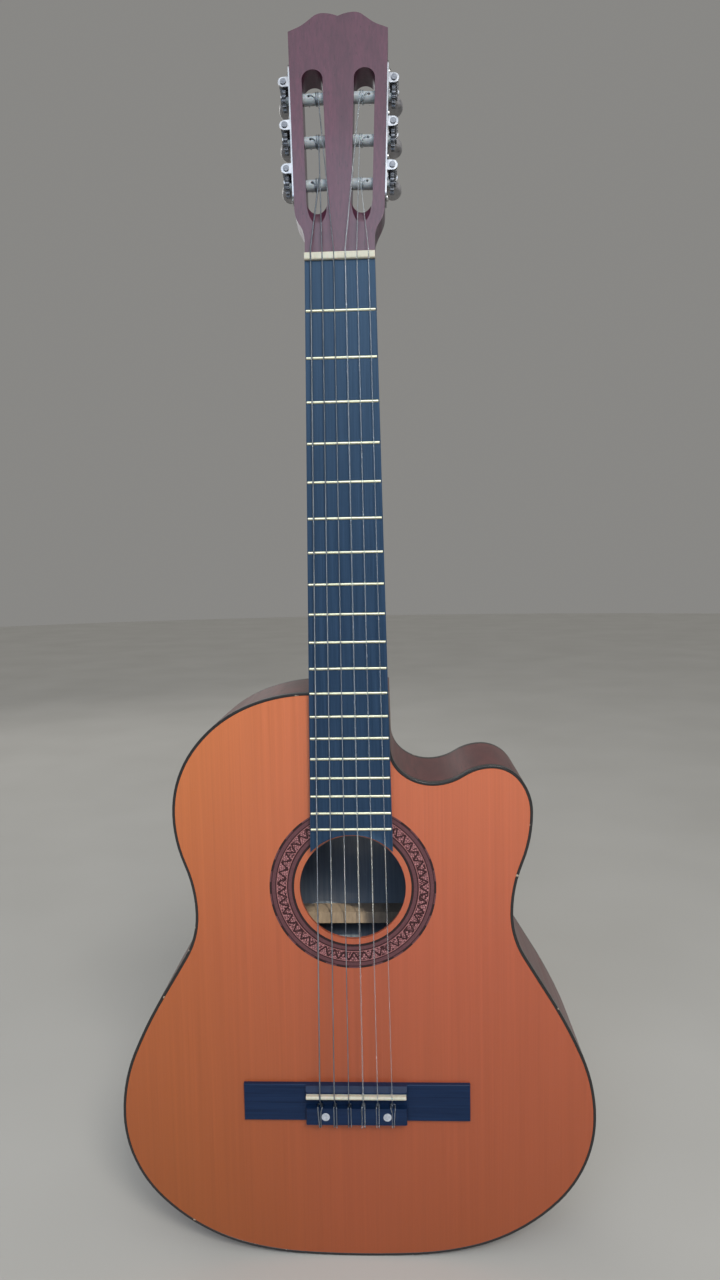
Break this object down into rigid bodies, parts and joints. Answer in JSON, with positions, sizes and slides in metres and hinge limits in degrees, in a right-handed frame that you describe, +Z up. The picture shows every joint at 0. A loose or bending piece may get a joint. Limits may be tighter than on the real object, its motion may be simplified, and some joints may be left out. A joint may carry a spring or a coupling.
{
  "type": "classical guitar",
  "caption": "Nylon-string classical guitar with a cutaway body, slotted headstock, round soundhole with a patterned ring, tie bridge and geared tuning machines.",
  "frame": {"origin": "bottom centre of the guitar's box as it hangs upright: below the tail of the body, on the centre line, half way between the front-most and rear-most points", "axes": "+Z runs up the neck from tail to headstock, +X towards the treble side, -Y out of the soundboard towards the listener"},
  "size_m": [0.388, 0.1116, 0.9941],
  "materials": {
    "soundboard_lacquer": "orange gloss lacquer over straight-grained laminate",
    "rosette_print": "printed mosaic ring under lacquer",
    "back_mahogany": "dark red-brown gloss lacquer",
    "rib_mahogany": "dark red-brown gloss lacquer",
    "black_binding": "black plastic strip, slightly nicked",
    "raw_wood": "unfinished softwood",
    "neck_mahogany": "red-brown satin gloss lacquer",
    "ebonised_wood": "black-stained hardwood, satin",
    "fret_metal": "worn nickel silver",
    "bone_plastic": "cream plastic",
    "pearl_plastic": "grey pearl plastic",
    "screw_steel": "zinc-plated steel",
    "nylon": "clear nylon",
    "wound_string": "silver-plated winding on nylon",
    "nickel_plate": "nickel-plated pressed steel",
    "gear_steel": "dull plated steel",
    "roller_plastic": "white plastic"
  },
  "bodies": {
    "root": {"soundboard": "soundboard_lacquer", "rosette": "rosette_print", "back_plate": "back_mahogany", "bass_rib": "rib_mahogany", "treble_rib": "rib_mahogany", "bindings": "black_binding", "linings": "raw_wood", "neck_block": "raw_wood", "tail_block": "raw_wood", "soundboard_braces": "raw_wood", "back_braces": "raw_wood", "neck": "neck_mahogany", "headstock": "neck_mahogany", "heel_cap": "black_binding", "fretboard": "ebonised_wood", "frets": "fret_metal", "nut": "bone_plastic", "bridge": "ebonised_wood", "saddle": "bone_plastic", "bridge_bolts": "screw_steel", "bridge_dots": "pearl_plastic", "string_1": "nylon", "string_2": "nylon", "string_3": "nylon", "string_4": "wound_string", "string_5": "wound_string", "string_6": "wound_string", "bass_tuner_plate": "nickel_plate", "treble_tuner_plate": "nickel_plate", "plate_screws": "screw_steel"},
    "knob_1": {"worm_1": "gear_steel", "button_1": "pearl_plastic"},
    "drum_1": {"roller_1": "roller_plastic", "gear_1": "gear_steel", "winding_1": "nylon"},
    "knob_2": {"worm_2": "gear_steel", "button_2": "pearl_plastic"},
    "drum_2": {"roller_2": "roller_plastic", "gear_2": "gear_steel", "winding_2": "nylon"},
    "knob_3": {"worm_3": "gear_steel", "button_3": "pearl_plastic"},
    "drum_3": {"roller_3": "roller_plastic", "gear_3": "gear_steel", "winding_3": "nylon"},
    "knob_4": {"worm_4": "gear_steel", "button_4": "pearl_plastic"},
    "drum_4": {"roller_4": "roller_plastic", "gear_4": "gear_steel", "winding_4": "wound_string"},
    "knob_5": {"worm_5": "gear_steel", "button_5": "pearl_plastic"},
    "drum_5": {"roller_5": "roller_plastic", "gear_5": "gear_steel", "winding_5": "wound_string"},
    "knob_6": {"worm_6": "gear_steel", "button_6": "pearl_plastic"},
    "drum_6": {"roller_6": "roller_plastic", "gear_6": "gear_steel", "winding_6": "wound_string"}
  },
  "joints": [
    {"name": "knob_1_turn", "type": "hinge", "parent": "root", "child": "knob_1", "pos_m": [0.04018, -0.02277, 0.87081], "axis": [0, 0.9848, -0.1736], "range_deg": [-270, 1350]},
    {"name": "roller_1_turn", "type": "hinge", "parent": "root", "child": "drum_1", "pos_m": [0.03468, -0.02444, 0.86132], "axis": [0.9995, -0.0054, -0.0308], "range_deg": [-19.3, 96.5]},
    {"name": "knob_2_turn", "type": "hinge", "parent": "root", "child": "knob_2", "pos_m": [0.04128, -0.0167, 0.90526], "axis": [0, 0.9848, -0.1736], "range_deg": [-270, 1350]},
    {"name": "roller_2_turn", "type": "hinge", "parent": "root", "child": "drum_2", "pos_m": [0.03577, -0.01837, 0.89577], "axis": [0.9995, -0.0054, -0.0308], "range_deg": [-19.3, 96.5]},
    {"name": "knob_3_turn", "type": "hinge", "parent": "root", "child": "knob_3", "pos_m": [0.04237, -0.01062, 0.93971], "axis": [0, 0.9848, -0.1736], "range_deg": [-270, 1350]},
    {"name": "roller_3_turn", "type": "hinge", "parent": "root", "child": "drum_3", "pos_m": [0.03687, -0.01229, 0.93023], "axis": [0.9995, -0.0054, -0.0308], "range_deg": [-19.3, 96.5]},
    {"name": "knob_4_turn", "type": "hinge", "parent": "root", "child": "knob_4", "pos_m": [-0.04237, -0.01062, 0.93971], "axis": [0, 0.9848, -0.1736], "range_deg": [-270, 1350]},
    {"name": "roller_4_turn", "type": "hinge", "parent": "root", "child": "drum_4", "pos_m": [-0.03687, -0.01229, 0.93023], "axis": [-0.9995, -0.0054, -0.0308], "range_deg": [-19.3, 96.5]},
    {"name": "knob_5_turn", "type": "hinge", "parent": "root", "child": "knob_5", "pos_m": [-0.04128, -0.0167, 0.90526], "axis": [0, 0.9848, -0.1736], "range_deg": [-270, 1350]},
    {"name": "roller_5_turn", "type": "hinge", "parent": "root", "child": "drum_5", "pos_m": [-0.03577, -0.01837, 0.89577], "axis": [-0.9995, -0.0054, -0.0308], "range_deg": [-19.3, 96.5]},
    {"name": "knob_6_turn", "type": "hinge", "parent": "root", "child": "knob_6", "pos_m": [-0.04018, -0.02277, 0.87081], "axis": [0, 0.9848, -0.1736], "range_deg": [-270, 1350]},
    {"name": "roller_6_turn", "type": "hinge", "parent": "root", "child": "drum_6", "pos_m": [-0.03468, -0.02444, 0.86132], "axis": [-0.9995, -0.0054, -0.0308], "range_deg": [-19.3, 96.5]}
  ],
  "couplings": [
    {"joint": "roller_1_turn", "follows": "knob_1_turn", "ratio": 0.071429},
    {"joint": "roller_2_turn", "follows": "knob_2_turn", "ratio": 0.071429},
    {"joint": "roller_3_turn", "follows": "knob_3_turn", "ratio": 0.071429},
    {"joint": "roller_4_turn", "follows": "knob_4_turn", "ratio": 0.071429},
    {"joint": "roller_5_turn", "follows": "knob_5_turn", "ratio": 0.071429},
    {"joint": "roller_6_turn", "follows": "knob_6_turn", "ratio": 0.071429}
  ]
}
